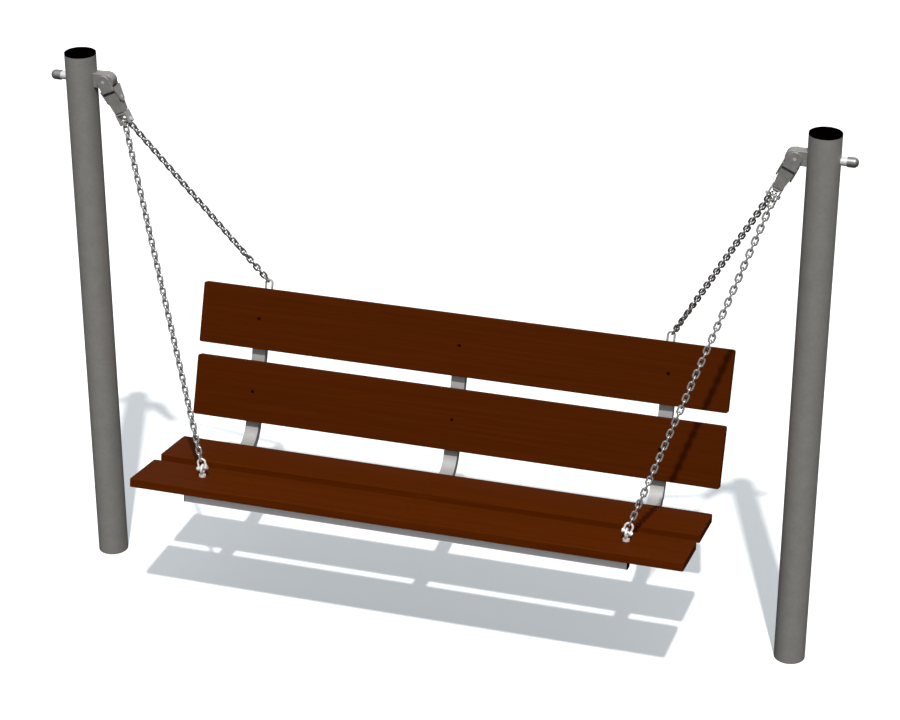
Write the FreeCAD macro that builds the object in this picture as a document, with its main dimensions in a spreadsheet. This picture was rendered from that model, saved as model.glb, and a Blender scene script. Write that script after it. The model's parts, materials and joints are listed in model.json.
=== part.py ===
import FreeCAD, Part
import math
import os
import Sketcher
from types import SimpleNamespace
from FreeCAD import Placement, Rotation, Vector

# Bench swing hung on four taut chains between two round posts.
# X runs along the bench, Y from the front of the seat to its back, Z up.
# The origin is on the ground, halfway between the posts.

doc = FreeCAD.newDocument("glider_swing")

# Driving dimensions, in millimetres and degrees.
SIZES = {
    # posts
    "post_spacing": 2540,
    "post_height": 1950,
    "post_diameter": 108,
    "post_wall": 3.6,
    "cap_flange": 4,
    "cap_plug_depth": 25,
    "cap_wall": 3,
    # hanger lug on each post, and the rod that clamps it
    "hanger_drop": 89.5,
    "hanger_reach": 89,
    "lug_depth": 38,
    "lug_height": 50,
    "lug_nose": 34,
    "saddle_clearance": 0.2,
    "rod_radius": 8,
    "rod_clearance": 0.3,
    "rod_grip": 18,
    "spacer_radius": 14,
    "spacer_length": 20,
    "cap_nut_radius": 17,
    "cap_nut_length": 36,
    "cap_nut_rim": 19,
    # cross yoke: an upper fork on the lug and a lower fork on the block
    "hanger_tilt": 25,
    "forged_edge": 1.5,
    "pin_radius": 6,
    "bush_wall": 2,
    "running_clearance": 0.05,
    "side_clearance": 0.5,
    "cheek_thickness": 8,
    "yoke_radius": 23,
    "bridge_top": 31,
    "bridge_bottom": 40.5,
    "pin_spacing": 70,
    "fork_cheek": 4.5,
    "fork_end_radius": 17,
    # swivel block and the stud that turns in it
    "block_width": 46,
    "block_end_width": 34,
    "block_depth": 40,
    "block_crown": 27,
    "block_end": 120.5,
    "stud_radius": 6,
    "stud_grip": 30,
    "stud_head_radius": 11,
    "stud_head_height": 9,
    # clevis that carries two chains on one bolt
    "clevis_gap": 1.5,
    "clevis_width": 40,
    "clevis_wall": 5,
    "clevis_plate": 6,
    "clevis_depth": 36,
    "clevis_length": 44,
    "clevis_play": 3.5,
    "clevis_bolt_drop": 33,
    "clevis_bolt_radius": 4,
    "chain_offset": 6.5,
    # short-link chain
    "wire_radius": 3.5,
    "link_length": 22,
    "link_width": 10,
    "link_play": 0.05,
    "twist_links": 10,
    # planks
    "plank_length": 1945,
    "plank_width": 220,
    "plank_thickness": 30,
    "plank_corner": 8,
    "plank_edge": 2.5,
    "seat_gap": 57,
    "seat_tilt": 10,
    "seat_rear_y": 21,
    "seat_rear_z": 508,
    "back_gap": 46,
    "back_recline": 20,
    "back_foot_y": 113,
    "back_foot_z": 552.5,
    # bent supports and the front rail
    "bar_offset": 752,
    "bar_width": 50,
    "bar_depth": 30,
    "bar_wall": 2.5,
    "bar_bend": 105,
    "bar_top_setback": 8,
    "rail_side": 35,
    "rail_wall": 2,
    "rail_setback": 30,
    "rail_overhang": 2,
    "rail_plug": 3,
    # chain anchors on the bench
    "staple_offset": 740,
    "staple_radius": 12,
    "staple_wire": 4,
    "staple_plate": 4,
    "staple_leg": 23,
    "eye_setback": 373,
    "eye_ring_radius": 14,
    "eye_wire": 5,
    "eye_collar_radius": 12,
    "eye_collar_height": 8,
    "eye_shank": 5,
    "shackle_radius": 13.5,
    "shackle_leg": 18,
    "shackle_ear": 8,
    "shackle_cheek": 8,
    "shackle_pin": 4,
    "shackle_play": 0.6,
    # plank fasteners
    "bolt_radius": 4,
    "bolt_head_radius": 6,
    "bolt_head_height": 5,
    "bolt_sink": 3,
    "bolt_clearance": 0.3,
    "screw_depth": 22,
    "nut_radius": 7.5,
    "nut_height": 6.5,
    "nut_flange": 1.5,
    "hex_socket": 2.9,
    "hex_socket_depth": 4,
}

sheet = doc.addObject("Spreadsheet::Sheet", "sizes")


def number(size):
    """The plain number of a size or of a number."""
    return size.value if isinstance(size, Size) else float(size)


def words(size):
    """The sheet expression of a size or of a number."""
    return size.text if isinstance(size, Size) else repr(float(size))


class Size:
    """A size that keeps both its number and the sheet expression behind it."""

    def __init__(self, value, text):
        self.value = float(value)
        self.text = text

    def __add__(self, other):
        return Size(self.value + number(other), f"({self.text} + {words(other)})")

    def __radd__(self, other):
        return Size(number(other) + self.value, f"({words(other)} + {self.text})")

    def __sub__(self, other):
        return Size(self.value - number(other), f"({self.text} - {words(other)})")

    def __rsub__(self, other):
        return Size(number(other) - self.value, f"({words(other)} - {self.text})")

    def __mul__(self, factor):
        return Size(self.value * number(factor), f"({self.text} * {words(factor)})")

    def __rmul__(self, factor):
        return self * factor

    def __truediv__(self, factor):
        return Size(self.value / number(factor), f"({self.text} / {words(factor)})")

    def __neg__(self):
        return self * -1


def cell(alias, value):
    """Writes one plain number into the sheet and gives it back as a size."""
    cell.row += 1
    sheet.set(f"A{cell.row}", alias)
    sheet.set(f"B{cell.row}", str(value))
    sheet.setAlias(f"B{cell.row}", alias)
    return Size(value, f"sizes.{alias}")


cell.row = 0
D = SimpleNamespace()
for alias, value in SIZES.items():
    setattr(D, alias, cell(alias, value))

# Sizes that follow from the driving ones and from the angles between them.
hanger_height = D.post_height - D.hanger_drop
turn = math.radians(90 - SIZES["back_recline"] + SIZES["seat_tilt"])
seat_frame = Placement(
    Vector(0, SIZES["seat_rear_y"], SIZES["seat_rear_z"]),
    Rotation(Vector(1, 0, 0), -SIZES["seat_tilt"]),
)
back_frame = Placement(
    Vector(0, SIZES["back_foot_y"], SIZES["back_foot_z"]),
    Rotation(Vector(1, 0, 0), -SIZES["back_recline"]),
)
bar_level = D.plank_thickness + D.bar_depth / 2
seat_depth = D.plank_width * 2 + D.seat_gap
back_height = D.plank_width * 2 + D.back_gap
# where the middle line of the bar's back part meets that of its seat part, in the seat's frame
back_start = seat_frame.inverse() * (back_frame * Vector(0, bar_level.value, 0))
back_rise = seat_frame.inverse().Rotation * (back_frame.Rotation * Vector(0, 0, 1))
below_foot = (back_start.z + bar_level.value) / back_rise.z
corner_y = back_start.y - below_foot * back_rise.y
bend_tangent = SIZES["bar_bend"] * math.tan(turn / 2)
bar_start = D.rail_setback + D.rail_side - seat_depth
seat_run = cell("bar_seat_run", corner_y - bend_tangent - bar_start.value)
back_run = cell(
    "bar_back_run",
    below_foot - bend_tangent + back_height.value - SIZES["bar_top_setback"],
)
doc.recompute()


def bind(owner, name, size):
    """Sets one property, by expression where the value comes from the sheet."""
    if isinstance(size, Size):
        owner.setExpression(name, size.text)
    else:
        owner_property, _, last = name.rpartition(".")
        if owner_property == "Placement.Base":
            corner = owner.Placement.Base
            setattr(corner, last, float(size))
            owner.Placement = Placement(corner, owner.Placement.Rotation)
        else:
            setattr(owner, name, float(size))


AXES = {
    "X": Rotation(Vector(0, 1, 0), 90),
    "Y": Rotation(Vector(1, 0, 0), -90),
    "Z": Rotation(),
}


def move(solid, base):
    """Puts a primitive's base point at three sizes."""
    for letter, size in zip("xyz", base):
        bind(solid, f"Placement.Base.{letter}", size)


def cylinder(radius, height, base=(0, 0, 0), axis="Z"):
    """A round bar that starts at base and runs along the axis."""
    solid = doc.addObject("Part::Cylinder", "round")
    bind(solid, "Radius", radius)
    bind(solid, "Height", height)
    solid.Placement = Placement(Vector(), AXES[axis])
    move(solid, base)
    return solid


def block(length, width, height, base=(0, 0, 0)):
    """A box whose lowest corner is at base."""
    solid = doc.addObject("Part::Box", "block")
    bind(solid, "Length", length)
    bind(solid, "Width", width)
    bind(solid, "Height", height)
    move(solid, base)
    return solid


def hexagon(radius, height, base=(0, 0, 0), axis="Z"):
    """A hexagon bar, as in a nut or a bolt head."""
    solid = doc.addObject("Part::Prism", "hexagon")
    solid.Polygon = 6
    bind(solid, "Circumradius", radius)
    bind(solid, "Height", height)
    solid.Placement = Placement(Vector(), AXES[axis])
    move(solid, base)
    return solid


def bow(ring_radius, wire, base=(0, 0, 0), rising=True, sweep=180):
    """Wire bent to part of a ring in the XZ plane, half a ring unless sweep says otherwise."""
    solid = doc.addObject("Part::Torus", "bow")
    bind(solid, "Radius1", ring_radius)
    bind(solid, "Radius2", wire)
    solid.Angle3 = sweep
    solid.Placement = Placement(Vector(), Rotation(Vector(1, 0, 0), 90 if rising else -90))
    move(solid, base)
    return solid


def fuse(*solids):
    """One solid from several."""
    joined = doc.addObject("Part::MultiFuse", "joined")
    joined.Shapes = list(solids)
    joined.Refine = True
    return joined


def cut(base, *tools):
    """A solid with others taken away from it."""
    carved = doc.addObject("Part::Cut", "carved")
    carved.Base = base
    carved.Tool = tools[0] if len(tools) == 1 else fuse(*tools)
    return carved


def flange_nut(radius, bore, base, axis="Z", flange_first=True):
    """Hexagon nut with a round flange, on the side that is nearer to base unless told otherwise."""
    step = {"X": (1, 0, 0), "Y": (0, 1, 0), "Z": (0, 0, 1)}[axis]
    rise = D.nut_height - D.nut_flange
    start = base if flange_first else [low + way * rise for low, way in zip(base, step)]
    solid = hexagon(radius, D.nut_height, base, axis)
    flange = cylinder(radius * 1.25, D.nut_flange, start, axis)
    hole = cylinder(bore, D.nut_height, base, axis)
    return cut(fuse(solid, flange), hole)


def group(*solids):
    """Several separate solids in one node."""
    compound = doc.addObject("Part::Compound", "group")
    compound.Links = list(solids)
    return compound


def body(name):
    """An empty PartDesign body."""
    return doc.addObject("PartDesign::Body", name)


def sketch(owner, role, *outlines):
    """Closed outlines on an origin plane. Each is a list of corners or (x, y, radius)."""
    drawing = owner.newObject("Sketcher::SketchObject", "outline")
    for plane in owner.Origin.OriginFeatures:
        if plane.Role == role:
            drawing.AttachmentSupport = [(plane, "")]
    drawing.MapMode = "FlatFace"
    bonds = []
    for outline in outlines:
        first = drawing.GeometryCount
        if isinstance(outline, tuple):
            x, y, radius = outline
            centre = Vector(number(x), number(y), 0)
            drawing.addGeometry(Part.Circle(centre, Vector(0, 0, 1), number(radius)), False)
            bonds += [("DistanceX", first, 3, x), ("DistanceY", first, 3, y)]
            ring = drawing.addConstraint(Sketcher.Constraint("Radius", first, number(radius)))
            if isinstance(radius, Size):
                drawing.setExpression(f"Constraints[{ring}]", radius.text)
            continue
        corners = [Vector(number(x), number(y), 0) for x, y in outline]
        count = len(corners)
        for step in range(count):
            edge = Part.LineSegment(corners[step], corners[(step + 1) % count])
            drawing.addGeometry(edge, False)
        for step in range(count):
            after = first + (step + 1) % count
            drawing.addConstraint(Sketcher.Constraint("Coincident", first + step, 2, after, 1))
            x, y = outline[step]
            bonds += [("DistanceX", first + step, 1, x), ("DistanceY", first + step, 1, y)]
    for kind, edge, point, size in bonds:
        bond = drawing.addConstraint(Sketcher.Constraint(kind, -1, 1, edge, point, number(size)))
        if isinstance(size, Size):
            drawing.setExpression(f"Constraints[{bond}]", size.text)
    return drawing


def pad(owner, drawing, length, side="Symmetric"):
    """Extrudes a sketch, to both sides of its plane unless side says otherwise."""
    feature = owner.newObject("PartDesign::Pad", "pad")
    feature.Profile = drawing
    feature.SideType = side
    bind(feature, "Length", length)
    return feature


def pocket(owner, drawing, length):
    """Cuts a sketch out, to both sides of its plane."""
    feature = owner.newObject("PartDesign::Pocket", "pocket")
    feature.Profile = drawing
    feature.SideType = "Symmetric"
    bind(feature, "Length", length)
    return feature


def eased_rim(owner, axis, level, radius):
    """Eases the outer edges of a body's two faces that lie at plus and minus level on an axis."""
    doc.recompute()
    base = owner.Tip
    names = []
    for index, edge in enumerate(base.Shape.Edges, 1):
        low = getattr(edge.BoundBox, f"{axis}Min")
        high = getattr(edge.BoundBox, f"{axis}Max")
        if min(abs(low - level), abs(high + level)) < 0.01 and high - low < 0.01:
            names.append(f"Edge{index}")
    feature = owner.newObject("PartDesign::Fillet", "eased")
    feature.Base = (base, names)
    bind(feature, "Radius", radius)
    return feature


def edges_along(shape, direction):
    """Names of a shape's straight edges that run along a direction."""
    names = []
    for index, edge in enumerate(shape.Edges, 1):
        if isinstance(edge.Curve, Part.Line):
            if abs(edge.Curve.Direction.dot(direction)) > 0.999:
                names.append(f"Edge{index}")
    return names


def rounded(owner, base, direction, radius):
    """Rounds a body's edges that run along a direction."""
    doc.recompute()
    feature = owner.newObject("PartDesign::Fillet", "rounded")
    feature.Base = (base, edges_along(base.Shape, direction))
    bind(feature, "Radius", radius)
    return feature


pieces = []


def piece(solid, label, place=None):
    """Keeps a finished sub-part under its own name and puts it in its place."""
    solid.Label = label
    if place is not None:
        solid.Placement = place
    pieces.append(solid)
    return solid


def at(x=0.0, y=0.0, z=0.0):
    """A shift with no turn."""
    return Placement(Vector(number(x), number(y), number(z)), Rotation())


def along(x_axis, z_axis, origin):
    """The placement that turns X and Z to two directions."""
    return Placement(origin, Rotation(x_axis, z_axis.cross(x_axis), z_axis, "ZXY"))


# ---------------------------------------------------------------- posts and hangers


def post(side, name):
    """Round tube post with a cross hole for the clamping rod, and its push-in cap."""
    place = at(side * D.post_spacing / 2)
    outer = D.post_diameter / 2
    inner = outer - D.post_wall
    tube = body(f"post_{name}_body")
    ring = sketch(tube, "XY_Plane", (0, 0, outer), (0, 0, inner))
    pad(tube, ring, D.post_height - D.cap_flange, "One side")
    hole = sketch(tube, "YZ_Plane", (0, hanger_height, D.rod_radius + D.rod_clearance))
    pocket(tube, hole, D.post_diameter * 2)
    piece(tube, f"post_{name}", place)
    seat = D.post_height - D.cap_flange
    plug = inner - D.rod_clearance
    flange = cylinder(outer, D.cap_flange, (0, 0, seat))
    skirt = cylinder(plug, D.cap_plug_depth, (0, 0, seat - D.cap_plug_depth))
    hollow = cylinder(plug - D.cap_wall, D.cap_plug_depth, (0, 0, seat - D.cap_plug_depth))
    piece(cut(fuse(flange, skirt), hollow), f"post_cap_{name}", place)


def lug(side, name):
    """Solid lug with a rounded nose, saddled on the post, with a bush for the upper pin."""
    place = Placement(
        Vector(side * (D.post_spacing.value / 2 - D.hanger_reach.value), 0, hanger_height.value),
        Rotation(Vector(0, 0, 1), 0 if side > 0 else 180),
    )
    half = D.lug_height / 2
    nose = half - D.lug_nose
    bore = D.pin_radius + D.running_clearance + D.bush_wall
    solid = body(f"lug_{name}_body")
    outline = [(nose, -half), (D.hanger_reach, -half), (D.hanger_reach, half), (nose, half)]
    pad(solid, sketch(solid, "XZ_Plane", outline), D.lug_depth)
    pad(solid, sketch(solid, "XZ_Plane", (nose, 0, half)), D.lug_depth)
    eased_rim(solid, "Y", D.lug_depth.value / 2, D.forged_edge)
    saddle_radius = D.post_diameter / 2 + D.saddle_clearance
    post_face = sketch(solid, "XY_Plane", (D.hanger_reach, 0, saddle_radius))
    pocket(solid, post_face, D.lug_height * 2)
    pocket(solid, sketch(solid, "XZ_Plane", (0, 0, bore)), D.lug_depth * 2)
    face = D.hanger_reach - D.post_diameter / 2
    thread = cylinder(D.rod_radius, D.rod_grip * 2, (face - D.rod_grip, 0, 0), "X")
    piece(cut(solid, thread), f"hanger_lug_{name}", place)
    shell = cylinder(bore, D.lug_depth, (0, -D.lug_depth / 2, 0), "Y")
    inside = cylinder(bore - D.bush_wall, D.lug_depth, (0, -D.lug_depth / 2, 0), "Y")
    piece(cut(shell, inside), f"lug_bush_{name}", place)
    far_face = D.hanger_reach + D.post_diameter / 2
    rod_start = face - D.rod_grip
    rod_end = far_face + D.spacer_length + D.cap_nut_rim
    rod = cylinder(D.rod_radius, rod_end - rod_start, (rod_start, 0, 0), "X")
    piece(group(rod), f"clamp_rod_{name}", place)
    sleeve = cylinder(D.spacer_radius, D.spacer_length + D.post_wall, (far_face - D.post_wall, 0, 0), "X")
    saddle = cylinder(saddle_radius, D.spacer_radius * 4, (D.hanger_reach, 0, D.spacer_radius * -2))
    bore = D.rod_radius + D.rod_clearance
    bore_cut = cylinder(bore, D.spacer_length * 2, (far_face - D.post_wall, 0, 0), "X")
    piece(cut(sleeve, saddle, bore_cut), f"clamp_spacer_{name}", place)
    nut_start = far_face + D.spacer_length
    nut = body(f"cap_nut_{name}_body")
    blank = pad(nut, sketch(nut, "YZ_Plane", (0, 0, D.cap_nut_radius)), D.cap_nut_length, "One side")
    doc.recompute()
    dome = nut.newObject("PartDesign::Fillet", "dome")
    far_end = []
    for index, edge in enumerate(blank.Shape.Edges, 1):
        if edge.BoundBox.XMin > D.cap_nut_length.value / 2:
            far_end.append(f"Edge{index}")
    dome.Base = (blank, far_end)
    bind(dome, "Radius", D.cap_nut_radius * 0.9)
    move(nut, (nut_start, 0, 0))
    socket = cylinder(D.rod_radius, D.cap_nut_rim, (nut_start, 0, 0), "X")
    piece(cut(nut, socket), f"cap_nut_{name}", place)


def yoke(place, name):
    """Cross yoke: the upper fork turns on the lug, the lower fork holds the block."""
    gap = D.lug_depth + D.side_clearance * 2
    depth = gap + D.cheek_thickness * 2
    width = D.block_width + D.side_clearance * 2 + D.fork_cheek * 2
    solid = body(f"yoke_{name}_body")
    radius = D.yoke_radius
    shoulder = width / 2 - D.fork_cheek
    upper = [(-radius, 0), (-shoulder, -D.bridge_bottom), (shoulder, -D.bridge_bottom), (radius, 0)]
    pad(solid, sketch(solid, "XZ_Plane", upper), depth)
    pad(solid, sketch(solid, "XZ_Plane", (0, 0, radius)), depth)
    eased_rim(solid, "Y", depth.value / 2, D.forged_edge)
    lower = [
        (-depth / 2, -D.bridge_top),
        (-D.fork_end_radius, -D.pin_spacing),
        (D.fork_end_radius, -D.pin_spacing),
        (depth / 2, -D.bridge_top),
    ]
    pad(solid, sketch(solid, "YZ_Plane", lower), width)
    pad(solid, sketch(solid, "YZ_Plane", (0, -D.pin_spacing, D.fork_end_radius)), width)
    slot = [
        (-width, -D.bridge_top),
        (width, -D.bridge_top),
        (width, radius * 2),
        (-width, radius * 2),
    ]
    pocket(solid, sketch(solid, "XZ_Plane", slot), gap)
    fork = [
        (-depth, -D.bridge_bottom),
        (depth, -D.bridge_bottom),
        (depth, D.pin_spacing * -2),
        (-depth, D.pin_spacing * -2),
    ]
    pocket(solid, sketch(solid, "YZ_Plane", fork), width - D.fork_cheek * 2)
    pocket(solid, sketch(solid, "XZ_Plane", (0, 0, D.pin_radius)), depth * 2)
    pocket(solid, sketch(solid, "YZ_Plane", (0, -D.pin_spacing, D.pin_radius)), width * 2)
    piece(solid, f"yoke_{name}", place)
    upper_pin = cylinder(D.pin_radius, depth, (0, -depth / 2, 0), "Y")
    piece(group(upper_pin), f"upper_pin_{name}", place)
    lower_pin = cylinder(D.pin_radius, width, (-width / 2, 0, -D.pin_spacing), "X")
    piece(group(lower_pin), f"lower_pin_{name}", place)


def swivel(place, name):
    """Tapered block on the lower pin, with a bush, and the headed stud that turns in it."""
    solid = body(f"block_{name}_body")
    half = D.block_width / 2
    end = D.block_end_width / 2
    crown = D.block_crown
    deep = D.block_depth / 2
    front = [
        (-half, crown - D.pin_spacing),
        (-half, -D.pin_spacing),
        (-end, -D.block_end),
        (end, -D.block_end),
        (half, -D.pin_spacing),
        (half, crown - D.pin_spacing),
    ]
    pad(solid, sketch(solid, "XZ_Plane", front), D.block_depth)
    eased_rim(solid, "Y", deep.value, D.forged_edge)
    side_cheek = [
        (-deep, -D.pin_spacing),
        (-deep, -D.block_end),
        (deep, -D.block_end),
        (deep, -D.pin_spacing),
    ]
    profile = body(f"block_side_{name}_body")
    pad(profile, sketch(profile, "YZ_Plane", side_cheek), D.block_width)
    pad(profile, sketch(profile, "YZ_Plane", (0, -D.pin_spacing, crown)), D.block_width)
    shared = doc.addObject("Part::Common", "block_common")
    shared.Base = solid
    shared.Tool = profile
    bore = D.pin_radius + D.running_clearance + D.bush_wall
    pin_bore = cylinder(bore, D.block_width * 2, (-D.block_width, 0, -D.pin_spacing), "X")
    stud_bore = cylinder(D.stud_radius + D.running_clearance, D.stud_grip, (0, 0, -D.block_end))
    piece(cut(shared, pin_bore, stud_bore), f"swivel_block_{name}", place)
    shell = cylinder(bore, D.block_width, (-half, 0, -D.pin_spacing), "X")
    inside = cylinder(bore - D.bush_wall, D.block_width, (-half, 0, -D.pin_spacing), "X")
    piece(cut(shell, inside), f"block_bush_{name}", place)
    head_top = D.block_end + D.clevis_gap + D.clevis_plate + D.side_clearance
    head = cylinder(D.stud_head_radius, D.stud_head_height, (0, 0, -head_top - D.stud_head_height))
    shank = cylinder(D.stud_radius, head_top - D.block_end + D.stud_grip, (0, 0, -head_top))
    piece(fuse(head, shank), f"swivel_stud_{name}", place)


def clevis(place, side, name):
    """Small clevis round the stud's head, with the cross bolt that two chains hang on."""
    top = D.block_end + D.clevis_gap
    bottom = top + D.clevis_length
    half = D.clevis_width / 2
    inner = half - D.clevis_wall
    solid = body(f"clevis_{name}_body")
    shell = [(-half, -top), (-half, -bottom), (half, -bottom), (half, -top)]
    outer = pad(solid, sketch(solid, "XZ_Plane", shell), D.clevis_depth)
    rounded(solid, outer, Vector(1, 0, 0), D.clevis_wall)
    space = [
        (-inner, -top - D.clevis_plate),
        (-inner, bottom * -2),
        (inner, bottom * -2),
        (inner, -top - D.clevis_plate),
    ]
    pocket(solid, sketch(solid, "XZ_Plane", space), D.clevis_depth * 2)
    bolt_level = -top - D.clevis_bolt_drop
    bolt_hole = (0, bolt_level, D.clevis_bolt_radius + D.bolt_clearance)
    pocket(solid, sketch(solid, "YZ_Plane", bolt_hole), D.clevis_width * 2)
    play = D.stud_radius + D.clevis_play
    opening = cylinder(play, D.clevis_plate, (0, 0, -top - D.clevis_plate))
    piece(cut(solid, opening), f"clevis_{name}", place)
    head = hexagon(D.nut_radius, D.bolt_head_height, (half, 0, bolt_level), "X")
    shank_length = D.clevis_width + D.nut_height
    shank = cylinder(D.clevis_bolt_radius, shank_length, (-half - D.nut_height, 0, bolt_level), "X")
    turned = place * Placement(Vector(), Rotation(Vector(0, 0, 1), 0 if side > 0 else 180))
    piece(fuse(head, shank), f"clevis_bolt_{name}", turned)
    nut = hexagon(D.nut_radius, D.nut_height, (-half - D.nut_height, 0, bolt_level), "X")
    hole = cylinder(D.clevis_bolt_radius, D.nut_height, (-half - D.nut_height, 0, bolt_level), "X")
    piece(cut(nut, hole), f"clevis_nut_{name}", turned)
    return place * Vector(0, 0, bolt_level.value)


# ---------------------------------------------------------------- bench


def plank(name, place, through, sunk):
    """Board with rounded corners and eased edges, holes through it and sunk bolt holes."""
    half = D.plank_length / 2
    board = body(f"{name}_body")
    outline = [(-half, 0), (half, 0), (half, D.plank_width), (-half, D.plank_width)]
    raw = pad(board, sketch(board, "XY_Plane", outline), D.plank_thickness, "One side")
    corners = rounded(board, raw, Vector(0, 0, 1), D.plank_corner)
    doc.recompute()
    eased = board.newObject("PartDesign::Fillet", "eased")
    rims = []
    for index, edge in enumerate(corners.Shape.Edges, 1):
        if edge.BoundBox.ZLength < 0.1:
            rims.append(f"Edge{index}")
    eased.Base = (corners, rims)
    bind(eased, "Radius", D.plank_edge)
    holes = []
    for x, radius in through:
        holes.append((x, D.plank_width / 2, radius))
    for x, y, radius in sunk:
        holes.append((x, y, radius))
    pocket(board, sketch(board, "XY_Plane", *holes), D.plank_thickness * 3)
    piece(board, name, place * at(0, 0, -D.plank_thickness))


def bench_planks():
    """Two seat planks and two back planks."""
    columns = [-D.bar_offset, 0, D.bar_offset]
    hole = D.bolt_radius + D.bolt_clearance
    recess = D.bolt_head_radius + D.bolt_clearance
    front = D.plank_width - seat_depth
    eye_y = seat_depth - D.eye_setback
    eye_hole = D.eye_shank + D.bolt_clearance
    eyes = [(x, eye_y, eye_hole) for x in (-D.bar_offset, D.bar_offset)]
    screw_row = [(x, hole) for x in columns]
    plank("seat_plank_front", seat_frame * at(0, front - D.plank_width), [(0, hole)], eyes)
    plank("seat_plank_rear", seat_frame * at(0, -D.plank_width), screw_row, [])
    upright = Placement(Vector(), Rotation(Vector(1, 0, 0), 90))
    for name, start in (("back_plank_lower", 0), ("back_plank_upper", D.plank_width + D.back_gap)):
        plank(name, back_frame * at(0, 0, start) * upright, [(x, recess) for x in columns], [])


def support_bar(x, name):
    """Rectangular tube: a run under the seat, one bend, and a run behind the back."""
    tube = body(f"support_{name}_body")
    path = tube.newObject("Sketcher::SketchObject", "path")
    for plane in tube.Origin.OriginFeatures:
        if plane.Role == "YZ_Plane":
            path.AttachmentSupport = [(plane, "")]
    path.MapMode = "FlatFace"
    bend = D.bar_bend.value
    bend_start = Vector(seat_run.value, 0, 0)
    centre = bend_start + Vector(0, bend, 0)
    bend_end = centre + Vector(bend * math.sin(turn), -bend * math.cos(turn), 0)
    rise = Vector(math.cos(turn), math.sin(turn), 0)
    path.addGeometry(Part.LineSegment(Vector(), bend_start), False)
    circle = Part.Circle(centre, Vector(0, 0, 1), bend)
    path.addGeometry(Part.ArcOfCircle(circle, -math.pi / 2, turn - math.pi / 2), False)
    path.addGeometry(Part.LineSegment(bend_end, bend_end + rise * back_run.value), False)
    path.addConstraint(Sketcher.Constraint("Coincident", 0, 1, -1, 1))
    path.addConstraint(Sketcher.Constraint("Horizontal", 0))
    path.addConstraint(Sketcher.Constraint("Tangent", 0, 2, 1, 1))
    path.addConstraint(Sketcher.Constraint("Tangent", 1, 2, 2, 1))
    path.addConstraint(Sketcher.Constraint("Angle", 2, turn))
    sizes = (("Distance", 0, seat_run), ("Radius", 1, D.bar_bend), ("Distance", 2, back_run))
    for kind, edge, size in sizes:
        bond = path.addConstraint(Sketcher.Constraint(kind, edge, size.value))
        path.setExpression(f"Constraints[{bond}]", size.text)
    wide = D.bar_width / 2
    deep = D.bar_depth / 2
    rectangles = []
    for inset in (0, D.bar_wall):
        across = wide - inset
        thick = deep - inset
        rectangles.append([(-across, -thick), (across, -thick), (across, thick), (-across, thick)])
    section = sketch(tube, "XZ_Plane", *rectangles)
    doc.recompute()
    pipe = tube.newObject("PartDesign::AdditivePipe", "pipe")
    pipe.Profile = section
    pipe.Spine = (path, ["Edge1", "Edge2", "Edge3"])
    tube.Placement = at(0, bar_start, -bar_level)
    drill = D.bolt_radius + D.bolt_clearance
    holes = []
    reach = D.plank_thickness + D.bar_depth * 2
    for y in (-D.plank_width / 2, D.plank_width / 2 - seat_depth):
        radius = drill
        row = y
        if y.value < -D.plank_width.value and name != "middle":
            radius = D.eye_shank + D.bolt_clearance
            row = -D.eye_setback
        holes.append(cylinder(radius, reach, (0, row, -reach)))
    to_seat = seat_frame.inverse() * back_frame
    for level in (D.plank_width / 2, D.plank_width * 1.5 + D.back_gap):
        hole = cylinder(drill, reach, (0, 0, 0), "Y")
        hole.Placement = to_seat * at(0, 0, level) * hole.Placement
        holes.append(hole)
    piece(cut(tube, *holes), f"support_bar_{name}", seat_frame * at(x))


def front_rail():
    """Square tube under the front plank's edge, closed by a plug at each end."""
    length = D.bar_offset * 2 + D.bar_width + D.rail_overhang * 2
    half = D.rail_side / 2
    across = half.value + D.rail_setback.value - seat_depth.value
    place = seat_frame * at(0, across, -D.plank_thickness.value - half.value)
    tube = body("front_rail_body")
    squares = []
    for inset in (0, D.rail_wall):
        side = half - inset
        squares.append([(-side, -side), (side, -side), (side, side), (-side, side)])
    pad(tube, sketch(tube, "YZ_Plane", *squares), length)
    piece(tube, "front_rail", place)
    plugs = []
    inner = D.rail_side - D.rail_wall * 2 - D.rod_clearance
    for side in (-1, 1):
        start = side * length / 2
        lip_start = start - (0 if side > 0 else D.rail_plug)
        lip = block(D.rail_plug, D.rail_side, D.rail_side, (lip_start, -half, -half))
        depth = D.rail_plug * 5
        inside = block(depth, inner, inner, (start - (depth if side > 0 else 0), -inner / 2, -inner / 2))
        plugs.append(fuse(lip, inside))
    piece(group(*plugs), "rail_end_plugs", place)


def fasteners():
    """Sunk bolts and nuts on the back, screws from below in the seat."""
    columns = [-D.bar_offset, 0, D.bar_offset]
    stack = D.plank_thickness + D.bar_depth
    bolts = []
    nuts = []
    for x in columns:
        for level in (D.plank_width / 2, D.plank_width * 1.5 + D.back_gap):
            head_length = D.plank_thickness - D.bolt_sink
            head = cylinder(D.bolt_head_radius, head_length, (x, D.bolt_sink, level), "Y")
            shank_length = D.bar_depth + D.nut_height
            shank = cylinder(D.bolt_radius, shank_length, (x, D.plank_thickness, level), "Y")
            socket = hexagon(D.hex_socket, D.hex_socket_depth, (x, D.bolt_sink, level), "Y")
            bolts.append(cut(fuse(head, shank), socket))
            nuts.append(flange_nut(D.nut_radius, D.bolt_radius, (x, stack, level), "Y"))
    piece(group(*bolts), "back_bolts", back_frame)
    piece(group(*nuts), "back_nuts", back_frame)
    screws = []
    spots = [(x, -D.plank_width / 2) for x in columns]
    spots.append((0, D.plank_width / 2 - seat_depth))
    for x, y in spots:
        head = hexagon(D.nut_radius, D.bolt_head_height, (x, y, -stack - D.bolt_head_height))
        shank = cylinder(D.bolt_radius, D.bar_depth + D.screw_depth, (x, y, -stack))
        screws.append(fuse(head, shank))
    piece(group(*screws), "seat_screws", seat_frame)


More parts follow.
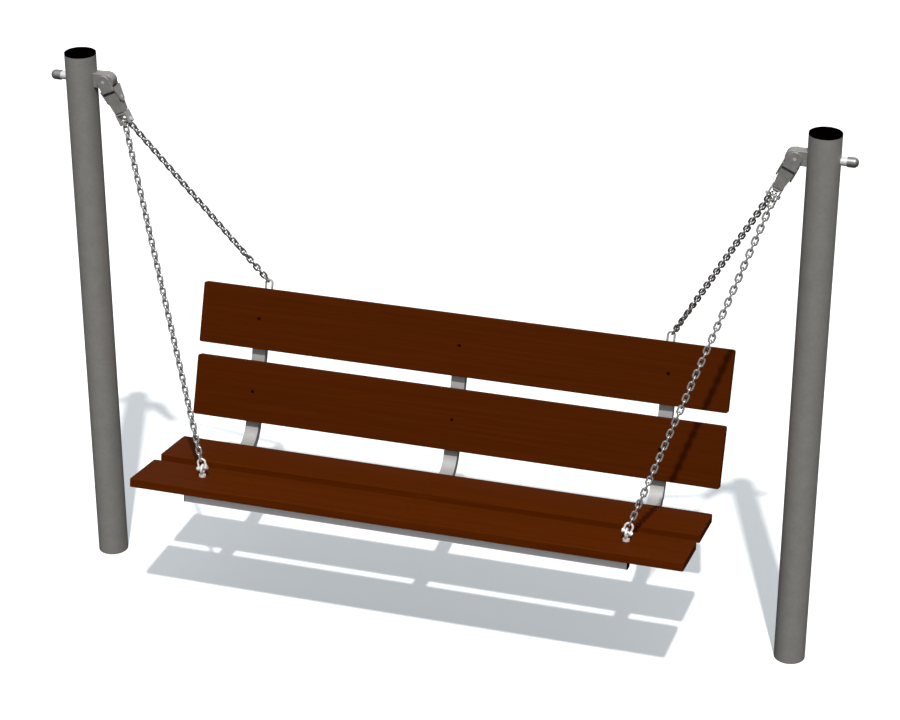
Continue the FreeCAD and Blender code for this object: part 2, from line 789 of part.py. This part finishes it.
def eye_bolt(side, name):
    """Ring eye on a round collar, its shank through plank and bar, and the nut below."""
    stack = D.plank_thickness + D.bar_depth
    ring_level = D.eye_collar_height + D.eye_ring_radius + D.eye_wire
    ring = bow(D.eye_ring_radius, D.eye_wire, (0, 0, ring_level), sweep=360)
    ring.Placement = Placement(ring.Placement.Base, Rotation(Vector(0, 1, 0), 90))
    collar = cylinder(D.eye_collar_radius, D.eye_collar_height)
    neck = cylinder(D.eye_wire * 0.9, D.eye_collar_height + D.eye_wire)
    shank = cylinder(D.eye_shank, stack + D.nut_height, (0, 0, -stack - D.nut_height))
    place = seat_frame * at(side * D.bar_offset, -D.eye_setback)
    piece(fuse(ring, collar, neck, shank), f"seat_eye_{name}", place)
    low = -stack - D.nut_height
    nut = flange_nut(D.nut_radius, D.eye_shank, (0, 0, low), flange_first=False)
    piece(nut, f"eye_nut_{name}", place)
    return place * Vector(0, 0, ring_level.value)


def shackle(place, name):
    """D-shackle with its pin along X and its bow along Z."""
    leg_x = D.shackle_radius
    legs = []
    for x in (-leg_x, leg_x):
        legs.append(cylinder(D.wire_radius, D.shackle_leg, (x, 0, 0)))
        legs.append(cylinder(D.shackle_ear, D.shackle_cheek, (x - D.shackle_cheek / 2, 0, 0), "X"))
    top = bow(leg_x, D.wire_radius, (0, 0, D.shackle_leg))
    reach = leg_x + D.shackle_cheek / 2
    hole = cylinder(D.shackle_pin + D.running_clearance, reach * 4, (reach * -2, 0, 0), "X")
    piece(cut(fuse(top, *legs), hole), f"seat_shackle_{name}", place)
    pin = cylinder(D.shackle_pin, reach * 2, (-reach, 0, 0), "X")
    head = cylinder(D.shackle_pin * 1.6, D.wire_radius, (reach, 0, 0), "X")
    piece(fuse(pin, head), f"shackle_pin_{name}", place)


def staple(side, name):
    """Plate that closes the bar's top end, with a U of round rod standing on it."""
    legs = []
    for x in (-D.staple_radius, D.staple_radius):
        legs.append(cylinder(D.staple_wire, D.staple_leg, (x, 0, D.staple_plate)))
    top = bow(D.staple_radius, D.staple_wire, (0, 0, D.staple_plate + D.staple_leg))
    plate_x = side * (D.bar_offset - D.staple_offset) - D.bar_width / 2
    plate = block(D.bar_width, D.bar_depth, D.staple_plate, (plate_x, -D.bar_depth / 2, 0))
    end = back_height - D.bar_top_setback
    place = back_frame * at(side * D.staple_offset, bar_level, end)
    piece(fuse(top, plate, *legs), f"back_staple_{name}", place)
    return place


# ---------------------------------------------------------------- chains


def link_master():
    """One welded link in the XZ plane, its length along Z."""
    arc = D.link_width / 2 + D.wire_radius
    straight = (D.link_length - D.link_width) / 2
    sides = []
    for x in (-arc, arc):
        sides.append(cylinder(D.wire_radius, straight * 2, (x, 0, -straight)))
    top = bow(arc, D.wire_radius, (0, 0, straight))
    bottom = bow(arc, D.wire_radius, (0, 0, -straight), rising=False)
    link = fuse(top, bottom, *sides)
    link.Label = "link_master"
    doc.recompute()
    return link


def chain(link, name, low, high, low_normal, high_normal, low_wire, high_wire):
    """Taut chain of separate links. Its end links pass round the two wires given.

    The turn between the two wires is taken up by the lowest links, and the rest hang straight.
    """
    line = (high - low).normalize()
    half = D.link_length.value / 2
    first = low + line * (half - low_wire)
    last = high - line * (half - high_wire)
    run = (last - first).Length
    steps = math.ceil(run / (D.link_length.value - D.link_play.value))
    start = (low_normal - line * low_normal.dot(line)).normalize()
    goal = (high_normal - line * high_normal.dot(line)).normalize()
    side = line.cross(start)
    angle = math.degrees(math.atan2(goal.dot(side), goal.dot(start)))
    spare = (angle - 90 * steps + 90) % 180 - 90
    turning = min(round(D.twist_links.value), steps)
    links = []
    for step in range(steps + 1):
        twist = Rotation(line, step * 90 + spare * min(step, turning) / turning)
        normal = twist * start
        spot = first + (last - first) * (step / steps)
        shape = link.Shape.copy()
        shape.Placement = Placement(spot, Rotation(normal.cross(line), normal, line, "ZYX"))
        links.append(shape)
    feature = doc.addObject("Part::Feature", f"{name}_links")
    feature.Shape = Part.makeCompound(links)
    piece(feature, name)


def rig(side, name, link):
    """One post with its hanger, the two chains below it and their anchors on the bench."""
    post(side, name)
    lug(side, name)
    pin = Vector(side * (D.post_spacing.value / 2 - D.hanger_reach.value), 0, hanger_height.value)
    hanger = Placement(pin, Rotation(Vector(0, 1, 0), side * D.hanger_tilt.value))
    yoke(hanger, name)
    swivel(hanger, name)
    bolt = clevis(hanger, side, name)
    outward = hanger.Rotation * Vector(side, 0, 0)
    front_top = bolt + outward * D.chain_offset.value
    rear_top = bolt - outward * D.chain_offset.value
    bolt_wire = D.clevis_bolt_radius.value + D.link_play.value

    ring = eye_bolt(side, name)
    pull = (front_top - ring).normalize()
    in_ring = seat_frame.Rotation.inverted() * pull
    in_ring = seat_frame.Rotation * Vector(0, in_ring.y, in_ring.z).normalize()
    room = D.eye_ring_radius - D.eye_wire - D.shackle_pin - D.shackle_play
    pin_spot = ring + in_ring * room.value
    pull = (front_top - pin_spot).normalize()
    pin_axis = (Vector(side, 0, 0) - pull * (pull.x * side)).normalize()
    shackle(along(pin_axis, pull, pin_spot), name)
    bow_top = pin_spot + pull * (D.shackle_leg + D.shackle_radius).value
    bow_wire = D.wire_radius.value + D.link_play.value
    chain(link, f"chain_front_{name}", bow_top, front_top, pin_axis, outward, bow_wire, bolt_wire)

    frame = staple(side, name)
    bow_centre = frame * Vector(0, 0, (D.staple_plate + D.staple_leg).value)
    pull = (rear_top - bow_centre).normalize()
    for _ in range(3):
        local = frame.Rotation.inverted() * pull
        local = Vector(local.x, 0, local.z).normalize()
        hook = bow_centre + (frame.Rotation * local) * D.staple_radius.value
        pull = (rear_top - hook).normalize()
    tangent = frame.Rotation * Vector(local.z, 0, -local.x)
    staple_wire = D.staple_wire.value + D.link_play.value
    chain(link, f"chain_rear_{name}", hook, rear_top, tangent, outward, staple_wire, bolt_wire)


bench_planks()
for place, name in ((-D.bar_offset, "left"), (0, "middle"), (D.bar_offset, "right")):
    support_bar(place, name)
front_rail()
fasteners()
master = link_master()
for side, name in ((-1, "left"), (1, "right")):
    rig(side, name, master)
doc.recompute()

faults = []
for item in doc.Objects:
    if "Invalid" in item.State or "Error" in item.State:
        faults.append(f"{item.Name}: {item.State}")
for item in pieces:
    if item.Shape.isNull() or not item.Shape.isValid() or not item.Shape.Solids:
        faults.append(f"{item.Label}: bad shape")
if faults:
    raise RuntimeError("; ".join(faults))

os.makedirs("parts", exist_ok=True)
for item in pieces:
    item.Shape.exportStep(f"parts/{item.Label}.step")
print(len(pieces), "sub-parts,", sum(len(item.Shape.Solids) for item in pieces), "solids")
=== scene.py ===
import json
import math

import bpy
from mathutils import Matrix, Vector


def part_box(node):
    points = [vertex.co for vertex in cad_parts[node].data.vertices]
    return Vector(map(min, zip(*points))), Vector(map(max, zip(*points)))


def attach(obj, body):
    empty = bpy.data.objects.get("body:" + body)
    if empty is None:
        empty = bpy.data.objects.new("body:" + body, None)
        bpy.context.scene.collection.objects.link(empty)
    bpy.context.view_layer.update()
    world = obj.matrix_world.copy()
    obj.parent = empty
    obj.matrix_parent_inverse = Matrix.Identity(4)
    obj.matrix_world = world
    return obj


# Looks of a bench swing hung on chains between two round posts.
# Metres throughout, apart from names that end in _mm.
# +X runs along the bench, -Y is its front, +Z is up.

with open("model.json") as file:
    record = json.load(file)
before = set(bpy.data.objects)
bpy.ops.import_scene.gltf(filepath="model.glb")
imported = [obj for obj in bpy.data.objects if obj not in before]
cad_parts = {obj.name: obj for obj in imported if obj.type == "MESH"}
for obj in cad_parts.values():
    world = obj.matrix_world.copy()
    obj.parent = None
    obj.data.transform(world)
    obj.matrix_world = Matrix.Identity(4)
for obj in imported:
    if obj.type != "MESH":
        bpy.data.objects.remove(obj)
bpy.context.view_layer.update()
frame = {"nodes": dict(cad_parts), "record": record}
nodes = frame["nodes"]

SEAT_TILT = math.radians(10)
BACK_RECLINE = math.radians(20)


# ---------------------------------------------------------------- materials

MM_PER_M = 1000

# Zinc's film and skin, counted against the crystals they lie on.
CRYSTALS_ACROSS_FILM = 6
SKIN_GRAINS_ACROSS_CRYSTAL = 2

# Wood grain. Real pores are finer than PORE_MM, which is coarse enough for them to show.
GROWTH_BAND_MM = 9
BAND_LENGTH_TO_WIDTH = 50
PORE_MM = 1.2
PORE_LENGTH_TO_WIDTH = 30
PORE_DEPTH_MM = 0.15

# The mould's real grain is nearer 0.3 mm and is drawn this wide so that it shows.
MOULD_GRAIN_MM = 1.5
MOULD_GRAIN_DEPTH_MM = 0.1


def colour(hex_code):
    """An sRGB hex colour as the linear RGBA that shaders take."""
    channels = []
    for start in (0, 2, 4):
        value = int(hex_code[start:start + 2], 16) / 255
        linear = value / 12.92 if value <= 0.04045 else ((value + 0.055) / 1.055) ** 2.4
        channels.append(linear)
    return (*channels, 1.0)


def node(tree, kind, settings=(), links=(), stops=()):
    """Adds a shader node.

    Settings are its properties or its sockets' values, and stops are a ramp's (position, colour) pairs.
    """
    made = tree.nodes.new(kind)
    for name, value in dict(settings).items():
        if isinstance(name, str) and hasattr(made, name):
            setattr(made, name, value)
        else:
            made.inputs[name].default_value = value
    for name, source in dict(links).items():
        tree.links.new(source, made.inputs[name])
    for index, (position, code) in enumerate(stops):
        if index >= len(made.color_ramp.elements):
            made.color_ramp.elements.new(position)
        made.color_ramp.elements[index].position = position
        made.color_ramp.elements[index].color = colour(code)
    return made


def material(name, base, metallic, roughness, **more):
    """A Principled material whose plain values sit on the shader's own sockets."""
    made = bpy.data.materials.new(name)
    made.use_nodes = True
    shader = made.node_tree.nodes["Principled BSDF"]
    shader.inputs["Base Color"].default_value = colour(base)
    shader.inputs["Metallic"].default_value = metallic
    shader.inputs["Roughness"].default_value = roughness
    for socket, value in more.items():
        shader.inputs[socket.replace("_", " ")].default_value = value
    return made, made.node_tree, shader


def grain_coordinates(tree, size_mm, stretch=(1, 1, 1)):
    """Object coordinates in which one texture unit is size_mm, times each axis's stretch."""
    place = node(tree, "ShaderNodeTexCoord")
    scale = [MM_PER_M / size_mm / factor for factor in stretch]
    mapping = node(tree, "ShaderNodeMapping", {"Scale": scale}, {"Vector": place.outputs["Object"]})
    return mapping.outputs["Vector"]


def zinc(name, dull, bright, metallic, roughness, spangle_mm, relief_mm):
    """Zinc-coated steel: crystals of slightly different greys under a soft dull film.

    Its oxide scatters light as paint does, so it is given less than full metallic.
    """
    made, tree, shader = material(name, bright, metallic, roughness)
    crystals = node(
        tree,
        "ShaderNodeTexVoronoi",
        {"Scale": 1.0, "Randomness": 1.0},
        {"Vector": grain_coordinates(tree, spangle_mm)},
    )
    film = node(
        tree,
        "ShaderNodeTexNoise",
        {"Scale": 1.0, "Detail": 4.0, "Roughness": 0.6},
        {"Vector": grain_coordinates(tree, spangle_mm * CRYSTALS_ACROSS_FILM)},
    )
    crystal_grey = node(tree, "ShaderNodeSeparateColor", links={"Color": crystals.outputs["Color"]})
    crystal_contrast = 0.35
    blend = node(
        tree,
        "ShaderNodeMath",
        {"operation": "MULTIPLY_ADD", 1: crystal_contrast},
        {0: crystal_grey.outputs["Red"], 2: film.outputs["Fac"]},
    )
    tint = node(
        tree,
        "ShaderNodeValToRGB",
        links={"Fac": blend.outputs["Value"]},
        stops=[(0.25, dull), (1.0, bright)],
    )
    gloss = node(
        tree,
        "ShaderNodeMapRange",
        {"To Min": roughness - 0.08, "To Max": roughness + 0.1},
        {"Value": film.outputs["Fac"]},
    )
    tree.links.new(tint.outputs["Color"], shader.inputs["Base Color"])
    tree.links.new(gloss.outputs["Result"], shader.inputs["Roughness"])
    skin = node(
        tree,
        "ShaderNodeTexNoise",
        {"Scale": 1.0, "Detail": 3.0},
        {"Vector": grain_coordinates(tree, spangle_mm / SKIN_GRAINS_ACROSS_CRYSTAL)},
    )
    relief = node(
        tree,
        "ShaderNodeBump",
        {"Strength": 0.35, "Distance": relief_mm / MM_PER_M},
        {"Height": skin.outputs["Fac"]},
    )
    tree.links.new(relief.outputs["Normal"], shader.inputs["Normal"])
    return made


def plain_metal(name, base, metallic, roughness, grit_mm):
    """Turned or plated metal: even colour, with machining unevenness in its gloss.

    Real machining marks are near 0.1 mm, and grit_mm is drawn coarser so that they show.
    """
    made, tree, shader = material(name, base, metallic, roughness)
    grit = node(
        tree,
        "ShaderNodeTexNoise",
        {"Scale": 1.0, "Detail": 2.0},
        {"Vector": grain_coordinates(tree, grit_mm)},
    )
    spread = 0.06
    gloss = node(
        tree,
        "ShaderNodeMapRange",
        {"To Min": roughness - spread, "To Max": roughness + spread},
        {"Value": grit.outputs["Fac"]},
    )
    tree.links.new(gloss.outputs["Result"], shader.inputs["Roughness"])
    return made


def stained_plank(name, dark, middle, light):
    """Planed hardwood under a dark red-brown stain: faint long grain and a satin sealed surface."""
    made, tree, shader = material(name, middle, 0.0, 0.6, IOR=1.5, Specular_IOR_Level=0.02)
    bands = node(
        tree,
        "ShaderNodeTexNoise",
        {"Scale": 1.0, "Detail": 5.0, "Roughness": 0.55, "Distortion": 0.6},
        {"Vector": grain_coordinates(tree, GROWTH_BAND_MM, (BAND_LENGTH_TO_WIDTH, 1, 1))},
    )
    pores = node(
        tree,
        "ShaderNodeTexNoise",
        {"Scale": 1.0, "Detail": 2.0},
        {"Vector": grain_coordinates(tree, PORE_MM, (PORE_LENGTH_TO_WIDTH, 1, 1))},
    )
    pore_contrast = 0.3
    figure = node(
        tree,
        "ShaderNodeMath",
        {"operation": "MULTIPLY_ADD", 1: pore_contrast},
        {0: pores.outputs["Fac"], 2: bands.outputs["Fac"]},
    )
    tint = node(
        tree,
        "ShaderNodeValToRGB",
        links={"Fac": figure.outputs["Value"]},
        stops=[(0.4, dark), (0.65, middle), (0.95, light)],
    )
    gloss = node(
        tree,
        "ShaderNodeMapRange",
        {"To Min": 0.52, "To Max": 0.66},
        {"Value": bands.outputs["Fac"]},
    )
    relief = node(
        tree,
        "ShaderNodeBump",
        {"Strength": 0.25, "Distance": PORE_DEPTH_MM / MM_PER_M},
        {"Height": pores.outputs["Fac"]},
    )
    tree.links.new(tint.outputs["Color"], shader.inputs["Base Color"])
    tree.links.new(gloss.outputs["Result"], shader.inputs["Roughness"])
    tree.links.new(relief.outputs["Normal"], shader.inputs["Normal"])
    return made


def moulded_black(name):
    """Black polyethylene with the fine texture of its mould."""
    made, tree, shader = material(name, "020000", 0.0, 0.7, IOR=1.51, Specular_IOR_Level=0.0)
    texture = node(
        tree,
        "ShaderNodeTexNoise",
        {"Scale": 1.0, "Detail": 2.0},
        {"Vector": grain_coordinates(tree, MOULD_GRAIN_MM)},
    )
    relief = node(
        tree,
        "ShaderNodeBump",
        {"Strength": 0.3, "Distance": MOULD_GRAIN_DEPTH_MM / MM_PER_M},
        {"Height": texture.outputs["Fac"]},
    )
    tree.links.new(relief.outputs["Normal"], shader.inputs["Normal"])
    return made


FINISHES = {
    # The weathered coat is a matt mid grey in which the crystals only just show.
    "post_steel": zinc("weathered galvanised post tube", "8A8681", "93908B", 0.3, 0.55, 9, 0.06),
    # A forging's coat is uneven, so its highlights are broken up. The relief is drawn deeper than real.
    "hanger_steel": zinc("galvanised forged steel", "88847F", "A5A19D", 0.45, 0.42, 5, 0.2),
    # Paler than the forged pieces it hangs from. The relief is drawn deeper than real here too.
    "clevis_steel": zinc("zinc plated clevis steel", "96938F", "B6B3B0", 0.4, 0.42, 5, 0.15),
    # Links that rub stay clean: the most metallic of the zinc coats, glinting along each bend.
    "chain_steel": zinc("bright galvanised chain steel", "A29F9B", "C6C3BF", 0.85, 0.3, 4, 0.08),
    # Close to white wherever the light falls on it.
    "shackle_steel": zinc("bright galvanised forging", "DAD7D4", "E9E7E4", 0.35, 0.32, 4, 0.08),
    # Lighter than the posts, and even, as on a smooth tube.
    "bar_steel": zinc("galvanised rectangular tube", "9B9896", "A5A2A0", 0.3, 0.5, 8, 0.05),
    # A pale zinc coat with painted highlight: the light caught along its whole front is painted into
    # its colour, so it reads as a nearly white line along the front of the seat.
    "rail_steel": zinc("galvanised square tube", "EDE6E6", "F5EEEE", 0.12, 0.5, 8, 0.05),
    # Warm brown-gold with a soft shine.
    "bush_bronze": plain_metal("sintered bronze", "9A7440", 1.0, 0.45, 1.0),
    # Pale, with tight highlights.
    "pin_steel": plain_metal("ground stainless pin", "D2CFCC", 0.4, 0.3, 2.0),
    # Bright and clean, nearly white in the light.
    "zinc_fastener": plain_metal("zinc plated fastener", "DADAD8", 0.35, 0.36, 1.5),
    # Dark brown heads that the wood nearly swallows.
    "dark_fastener": plain_metal("blackened bolt steel", "2A1208", 1.0, 0.5, 1.0),
    # Flat black with no highlight.
    "black_plastic": moulded_black("moulded black polyethylene"),
    # Deep red-brown, with grain seen only from near by.
    "seat_plank_wood": stained_plank("red-brown stained seat plank", "451900", "4C1D00", "532100"),
    # The same stain, made a shade darker as painted shade, since the back stands steeper and is turned
    # from the light.
    "back_plank_wood": stained_plank("red-brown stained back plank with painted shade", "3F1700", "451A00", "4A1C00"),
}

# The domed nuts are duller and greyer than the plated spacers beside them.
DULL_NUT = plain_metal("dull zinc plated nut", "9C9A97", 0.8, 0.38, 1.5)

for part in frame["record"]["subparts"]:
    slots = nodes[part["node"]].data.materials
    slots.clear()
    is_domed_nut = part["node"].startswith("cap_nut")
    slots.append(DULL_NUT if is_domed_nut else FINISHES[part["material_slot"]])


# ---------------------------------------------------------------- weld beads

SEAT_REARWARD = Vector((0, math.cos(SEAT_TILT), -math.sin(SEAT_TILT)))
SEAT_UP = Vector((0, math.sin(SEAT_TILT), math.cos(SEAT_TILT)))
BACK_REARWARD = Vector((0, math.cos(BACK_RECLINE), -math.sin(BACK_RECLINE)))
BACK_UP = Vector((0, math.sin(BACK_RECLINE), math.cos(BACK_RECLINE)))

BEAD_RADIUS = 0.0018
RIPPLE_LENGTH = 0.0025
# Shares of the bead's radius: its mean, and how far a ripple leaves it.
RIPPLE_MEAN = 0.9
RIPPLE_SWING = 0.14
RING_SPACING = 0.0006
ROUND = 10
BEAD_STOPS_BELOW_RAIL_TOP = 0.002

STAPLE_PLATE = 0.004
LEG_RADIUS = 0.004
CLEAR_OF_PLATE = 0.003
STEPS_ROUND_LEG = 24


def bead_path(corners, closed):
    """Close-set points along the straight runs between corners."""
    path = []
    runs = list(zip(corners, corners[1:] + corners[:1]))
    for start, end in runs if closed else runs[:-1]:
        steps = max(2, round((end - start).length / RING_SPACING))
        path += [start.lerp(end, step / steps) for step in range(steps)]
    if not closed:
        path.append(corners[-1])
    return path


def bead_verts(path, closed):
    """A ring of points round each point of the path, wider and narrower along it as a weld ripples."""
    verts = []
    travelled = 0
    for index, spot in enumerate(path):
        before = path[index - 1] if index or closed else spot
        after = path[(index + 1) % len(path)] if index + 1 < len(path) or closed else spot
        ahead = (after - before).normalized()
        if verts:
            across = (across - ahead * across.dot(ahead)).normalized()
        else:
            across = ahead.orthogonal().normalized()
        beside = ahead.cross(across)
        travelled += (spot - before).length if index else 0
        ripple = math.cos(2 * math.pi * travelled / RIPPLE_LENGTH)
        radius = BEAD_RADIUS * (RIPPLE_MEAN + RIPPLE_SWING * ripple)
        for turn in range(ROUND):
            angle = 2 * math.pi * turn / ROUND
            verts.append(spot + (across * math.cos(angle) + beside * math.sin(angle)) * radius)
    return verts


def bead_faces(rings, closed):
    """The skin between the rings, with an end face on an open bead's two ends."""
    faces = []
    for ring in range(rings if closed else rings - 1):
        for turn in range(ROUND):
            here = ring * ROUND
            following = (ring + 1) % rings * ROUND
            beyond = (turn + 1) % ROUND
            faces.append((here + turn, here + beyond, following + beyond, following + turn))
    if not closed:
        faces.append(tuple(reversed(range(ROUND))))
        faces.append(tuple(range((rings - 1) * ROUND, rings * ROUND)))
    return faces


def weld_bead(name, corners, closed, like):
    """A rippled bead on the bench, along the runs between corners, in the finish of the slot named."""
    path = bead_path(corners, closed)
    mesh = bpy.data.meshes.new(name)
    mesh.from_pydata(bead_verts(path, closed), [], bead_faces(len(path), closed))
    mesh.shade_smooth()
    mesh.materials.append(FINISHES[like])
    bead = bpy.data.objects.new(name, mesh)
    bpy.context.scene.collection.objects.link(bead)
    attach(bead, "bench")


# Each bar's front end is welded to the rail's rear face, down both sides and along below.
rail_low, rail_high = (Vector(corner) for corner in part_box("front_rail"))
rail_middle = (rail_low + rail_high) / 2
rail_side = (rail_high.y - rail_low.y) / (math.cos(SEAT_TILT) + math.sin(SEAT_TILT))
rail_rear = SEAT_REARWARD.dot(rail_middle) + rail_side / 2
rail_top = SEAT_UP.dot(rail_middle) + rail_side / 2
bead_top = rail_top - BEAD_STOPS_BELOW_RAIL_TOP
for name in ("left", "middle", "right"):
    bar_low, bar_high = (Vector(corner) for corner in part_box(f"support_bar_{name}"))
    underside = min(SEAT_UP.dot(v.co) for v in nodes[f"support_bar_{name}"].data.vertices)
    places = (
        (bar_low.x, bead_top),
        (bar_low.x, underside),
        (bar_high.x, underside),
        (bar_high.x, bead_top),
    )
    corners = [Vector((x, 0, 0)) + SEAT_REARWARD * rail_rear + SEAT_UP * high for x, high in places]
    weld_bead(f"bar_weld_{name}", corners, False, "bar_steel")

# Each staple leg is welded round its foot, as far as there is plate below it.
for side, name in ((-1, "left"), (1, "right")):
    points = [v.co for v in nodes[f"back_staple_{name}"].data.vertices]
    foot = min(BACK_UP.dot(p) for p in points) + STAPLE_PLATE
    flat = [p.x * side for p in points if BACK_UP.dot(p) < foot - STAPLE_PLATE / 2]
    standing = [p for p in points if BACK_UP.dot(p) > foot + CLEAR_OF_PLATE]
    rearmost = max(BACK_REARWARD.dot(p) for p in standing)
    foremost = min(BACK_REARWARD.dot(p) for p in standing)
    outward = [p.x * side for p in standing]
    legs = {"inner": min(outward) + LEG_RADIUS, "outer": max(outward) - LEG_RADIUS}
    for leg, centre in legs.items():
        room = centre - min(flat)
        gap = math.acos(room / LEG_RADIUS) if room < LEG_RADIUS else 0
        ring = []
        for turn in range(STEPS_ROUND_LEG + 1):
            angle = math.pi + gap + (2 * math.pi - 2 * gap) * turn / STEPS_ROUND_LEG
            across = side * (centre + math.cos(angle) * LEG_RADIUS)
            rearward = (rearmost + foremost) / 2 + math.sin(angle) * LEG_RADIUS
            ring.append(Vector((across, 0, 0)) + BACK_REARWARD * rearward + BACK_UP * foot)
        if gap == 0:
            ring.pop()
        weld_bead(f"staple_weld_{name}_{leg}", ring, gap == 0, "bar_steel")


# ---------------------------------------------------------------- stage, light, camera

# Larger than the furthest distance a camera here can see, so the floor's own edge never shows.
FLOOR_REACH = 800
floor_mesh = bpy.data.meshes.new("floor")
floor_mesh.from_pydata(
    [
        (-FLOOR_REACH, -FLOOR_REACH, 0),
        (FLOOR_REACH, -FLOOR_REACH, 0),
        (FLOOR_REACH, FLOOR_REACH, 0),
        (-FLOOR_REACH, FLOOR_REACH, 0),
    ],
    [],
    [(0, 1, 2, 3)],
)
floor = bpy.data.objects.new("floor", floor_mesh)
bpy.context.scene.collection.objects.link(floor)
# Matt white board, which takes a shadow and mirrors nothing.
floor_finish, _, floor_shader = material("matt white floor", "E9E9E9", 0.0, 0.9)
# A little of its own light keeps the floor's shadows pale and slightly blue.
floor_shader.inputs["Emission Color"].default_value = colour("E4EEF6")
floor_shader.inputs["Emission Strength"].default_value = 0.26
floor_mesh.materials.append(floor_finish)
# The floor throws no light back up, so undersides stay dark as over an open studio pit.
floor.visible_diffuse = False
floor.visible_glossy = False

# A pale sky above the horizon and a dark one below it, met in a soft band.
world = bpy.data.worlds.new("studio")
bpy.context.scene.world = world
world.use_nodes = True
sky = world.node_tree
place = node(sky, "ShaderNodeTexCoord")
axes = node(sky, "ShaderNodeSeparateXYZ", links={"Vector": place.outputs["Generated"]})
height = node(
    sky,
    "ShaderNodeMapRange",
    {"From Min": -0.25, "From Max": 0.1},
    {"Value": axes.outputs["Z"]},
)
shade = node(
    sky,
    "ShaderNodeValToRGB",
    links={"Fac": height.outputs["Result"]},
    stops=[(0.0, "4A4B4C"), (1.0, "F2F7FA")],
)
# The studio's end walls are darker than its front and back, which rounds the posts.
ends = node(sky, "ShaderNodeMath", {"operation": "ABSOLUTE"}, {0: axes.outputs["X"]})
walls = node(
    sky,
    "ShaderNodeMapRange",
    {"From Min": 0.3, "From Max": 1.0, "To Min": 0.68, "To Max": 0.2},
    {"Value": ends.outputs["Value"]},
)
sky.links.new(shade.outputs["Color"], sky.nodes["Background"].inputs["Color"])
sky.links.new(walls.outputs["Result"], sky.nodes["Background"].inputs["Strength"])

# One lamp above, in front and a little to the right, small enough to leave clear shadows.
KEY_STRENGTH = 3.4
KEY_SPREAD = math.radians(1.5)
KEY_DIRECTION = Vector((-0.17, 0.50, -0.85))
key = bpy.data.lights.new("key", "SUN")
key.energy = KEY_STRENGTH
key.angle = KEY_SPREAD
key_lamp = bpy.data.objects.new("key", key)
key_lamp.rotation_euler = KEY_DIRECTION.to_track_quat("-Z", "Y").to_euler()
bpy.context.scene.collection.objects.link(key_lamp)

CAMERA_AIM = Vector((0.0388, 0, 0.9721))
CAMERA_DISTANCE = 8.8635
CAMERA_AZIMUTH = math.radians(16.74)
CAMERA_ELEVATION = math.radians(26.85)
LENS_MM = 103.41
SENSOR_WIDTH_MM = 36
towards = Vector((
    math.sin(CAMERA_AZIMUTH) * math.cos(CAMERA_ELEVATION),
    -math.cos(CAMERA_AZIMUTH) * math.cos(CAMERA_ELEVATION),
    math.sin(CAMERA_ELEVATION),
))
lens = bpy.data.cameras.new("camera")
lens.lens = LENS_MM
lens.sensor_width = SENSOR_WIDTH_MM
camera = bpy.data.objects.new("camera", lens)
camera.location = CAMERA_AIM + towards * CAMERA_DISTANCE
camera.rotation_euler = (math.pi / 2 - CAMERA_ELEVATION, 0, CAMERA_AZIMUTH)
bpy.context.scene.collection.objects.link(camera)
bpy.context.scene.camera = camera
bpy.context.scene.view_settings.view_transform = "Standard"
